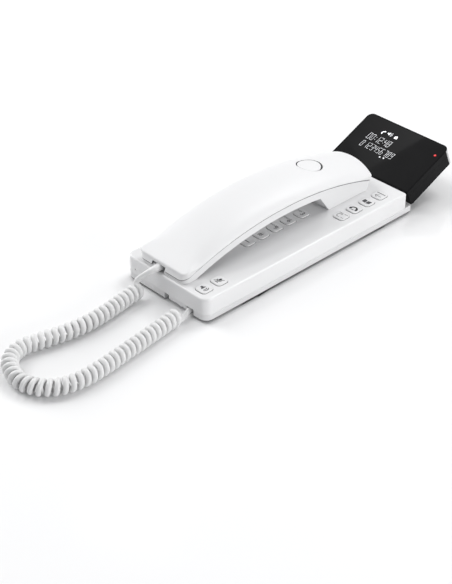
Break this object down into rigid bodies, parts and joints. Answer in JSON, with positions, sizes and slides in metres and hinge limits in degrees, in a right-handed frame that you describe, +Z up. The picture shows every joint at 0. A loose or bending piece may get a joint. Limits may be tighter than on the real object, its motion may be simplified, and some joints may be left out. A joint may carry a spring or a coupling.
{
  "type": "corded telephone",
  "caption": "Slim corded desk and wall telephone with an arched handset lying on a flat keypad base, a tilting black display at the far end and a white curly cord.",
  "frame": {"origin": "on the desk under the middle of the telephone without its cord: half way between the base's near wall and the display's far edge, and half way across", "axes": "+X to the side with the function keys, +Y from the cord end towards the display, +Z up from the desk"},
  "size_m": [0.0806, 0.3876, 0.0495],
  "materials": {
    "cover_white": "satin",
    "handset_white": "gloss",
    "key_white": "satin",
    "grey_rubber": "matte",
    "zinc_steel": "satin",
    "circuit_board": "satin",
    "display_black": "gloss",
    "display_lens": "gloss",
    "lcd_grey": "gloss",
    "lamp_red": "gloss",
    "silver_grille": "satin",
    "capsule_grey": "satin",
    "socket_grey": "satin",
    "weight_steel": "matte",
    "plug_clear": "gloss",
    "cord_white": "satin"
  },
  "bodies": {
    "base": {"top_housing": "cover_white", "bottom_housing": "cover_white", "main_board": "circuit_board", "number_mat": "grey_rubber", "function_mat": "grey_rubber", "audio_mat": "grey_rubber", "foot_near_left": "grey_rubber", "foot_near_right": "grey_rubber", "foot_far_left": "grey_rubber", "foot_far_right": "grey_rubber", "screw_near_left": "zinc_steel", "screw_near_right": "zinc_steel", "screw_far_left": "zinc_steel", "screw_far_right": "zinc_steel", "loudspeaker": "capsule_grey", "base_mic": "capsule_grey", "base_jack": "socket_grey", "line_jack": "socket_grey", "hook_spring": "zinc_steel", "base_plug": "plug_clear", "curly_cord": "cord_white"},
    "handset": {"handset_back": "handset_white", "handset_front": "handset_white", "handset_cap": "handset_white", "receiver": "capsule_grey", "receiver_grille": "silver_grille", "transmitter": "capsule_grey", "handset_socket": "socket_grey", "handset_weight": "weight_steel", "handset_plug": "plug_clear"},
    "display": {"display_frame": "display_black", "display_lens": "display_lens", "display_back": "display_black", "lcd_panel": "lcd_grey", "display_board": "circuit_board", "message_lamp": "lamp_red", "hinge_pin_left": "zinc_steel", "hinge_pin_right": "zinc_steel"},
    "hook_plunger": {"hook_plunger": "key_white"},
    "key_1": {"key_1": "key_white"},
    "key_2": {"key_2": "key_white"},
    "key_3": {"key_3": "key_white"},
    "key_4": {"key_4": "key_white"},
    "key_5": {"key_5": "key_white"},
    "key_6": {"key_6": "key_white"},
    "key_7": {"key_7": "key_white"},
    "key_8": {"key_8": "key_white"},
    "key_9": {"key_9": "key_white"},
    "key_star": {"key_star": "key_white"},
    "key_0": {"key_0": "key_white"},
    "key_hash": {"key_hash": "key_white"},
    "key_flash": {"key_flash": "key_white"},
    "key_redial": {"key_redial": "key_white"},
    "key_volume": {"key_volume": "key_white"},
    "key_menu": {"key_menu": "key_white"},
    "key_call": {"key_call": "key_white"},
    "key_book": {"key_book": "key_white"},
    "key_back": {"key_back": "key_white"},
    "key_speaker": {"key_speaker": "key_white"},
    "key_mute": {"key_mute": "key_white"}
  },
  "joints": [
    {"name": "handset_lift", "type": "slide", "parent": "base", "child": "handset", "axis": [0, 0, 1], "range_m": [0, 0.08]},
    {"name": "display_tilt", "type": "hinge", "parent": "base", "child": "display", "pos_m": [0, 0.0817, 0.00837], "axis": [1, 0, 0], "range_deg": [-23.5, 4]},
    {"name": "hook_rise", "type": "slide", "parent": "base", "child": "hook_plunger", "axis": [0, 0, 1], "range_m": [0, 0.0025], "deforming": ["hook_spring"]},
    {"name": "key_1_press", "type": "slide", "parent": "base", "child": "key_1", "axis": [0, 0, -1], "range_m": [0, 0.0008], "stiffness_N_per_m": 900},
    {"name": "key_2_press", "type": "slide", "parent": "base", "child": "key_2", "axis": [0, 0, -1], "range_m": [0, 0.0008], "stiffness_N_per_m": 900},
    {"name": "key_3_press", "type": "slide", "parent": "base", "child": "key_3", "axis": [0, 0, -1], "range_m": [0, 0.0008], "stiffness_N_per_m": 900},
    {"name": "key_4_press", "type": "slide", "parent": "base", "child": "key_4", "axis": [0, 0, -1], "range_m": [0, 0.0008], "stiffness_N_per_m": 900},
    {"name": "key_5_press", "type": "slide", "parent": "base", "child": "key_5", "axis": [0, 0, -1], "range_m": [0, 0.0008], "stiffness_N_per_m": 900},
    {"name": "key_6_press", "type": "slide", "parent": "base", "child": "key_6", "axis": [0, 0, -1], "range_m": [0, 0.0008], "stiffness_N_per_m": 900},
    {"name": "key_7_press", "type": "slide", "parent": "base", "child": "key_7", "axis": [0, 0, -1], "range_m": [0, 0.0008], "stiffness_N_per_m": 900},
    {"name": "key_8_press", "type": "slide", "parent": "base", "child": "key_8", "axis": [0, 0, -1], "range_m": [0, 0.0008], "stiffness_N_per_m": 900},
    {"name": "key_9_press", "type": "slide", "parent": "base", "child": "key_9", "axis": [0, 0, -1], "range_m": [0, 0.0008], "stiffness_N_per_m": 900},
    {"name": "key_star_press", "type": "slide", "parent": "base", "child": "key_star", "axis": [0, 0, -1], "range_m": [0, 0.0008], "stiffness_N_per_m": 900},
    {"name": "key_0_press", "type": "slide", "parent": "base", "child": "key_0", "axis": [0, 0, -1], "range_m": [0, 0.0008], "stiffness_N_per_m": 900},
    {"name": "key_hash_press", "type": "slide", "parent": "base", "child": "key_hash", "axis": [0, 0, -1], "range_m": [0, 0.0008], "stiffness_N_per_m": 900},
    {"name": "key_flash_press", "type": "slide", "parent": "base", "child": "key_flash", "axis": [0, 0, -1], "range_m": [0, 0.0008], "stiffness_N_per_m": 900},
    {"name": "key_redial_press", "type": "slide", "parent": "base", "child": "key_redial", "axis": [0, 0, -1], "range_m": [0, 0.0008], "stiffness_N_per_m": 900},
    {"name": "key_volume_press", "type": "slide", "parent": "base", "child": "key_volume", "axis": [0, 0, -1], "range_m": [0, 0.0008], "stiffness_N_per_m": 900},
    {"name": "key_menu_press", "type": "slide", "parent": "base", "child": "key_menu", "axis": [0, 0, -1], "range_m": [0, 0.0008], "stiffness_N_per_m": 900},
    {"name": "key_call_press", "type": "slide", "parent": "base", "child": "key_call", "axis": [0, 0, -1], "range_m": [0, 0.0008], "stiffness_N_per_m": 900},
    {"name": "key_book_press", "type": "slide", "parent": "base", "child": "key_book", "axis": [0, 0, -1], "range_m": [0, 0.0008], "stiffness_N_per_m": 900},
    {"name": "key_back_press", "type": "slide", "parent": "base", "child": "key_back", "axis": [0, 0, -1], "range_m": [0, 0.0008], "stiffness_N_per_m": 900},
    {"name": "key_speaker_press", "type": "slide", "parent": "base", "child": "key_speaker", "axis": [0, 0, -1], "range_m": [0, 0.0008], "stiffness_N_per_m": 900},
    {"name": "key_mute_press", "type": "slide", "parent": "base", "child": "key_mute", "axis": [0, 0, -1], "range_m": [0, 0.0008], "stiffness_N_per_m": 900}
  ],
  "couplings": [
    {"joint": "hook_rise", "follows": "handset_lift", "ratio": 0.03125}
  ]
}
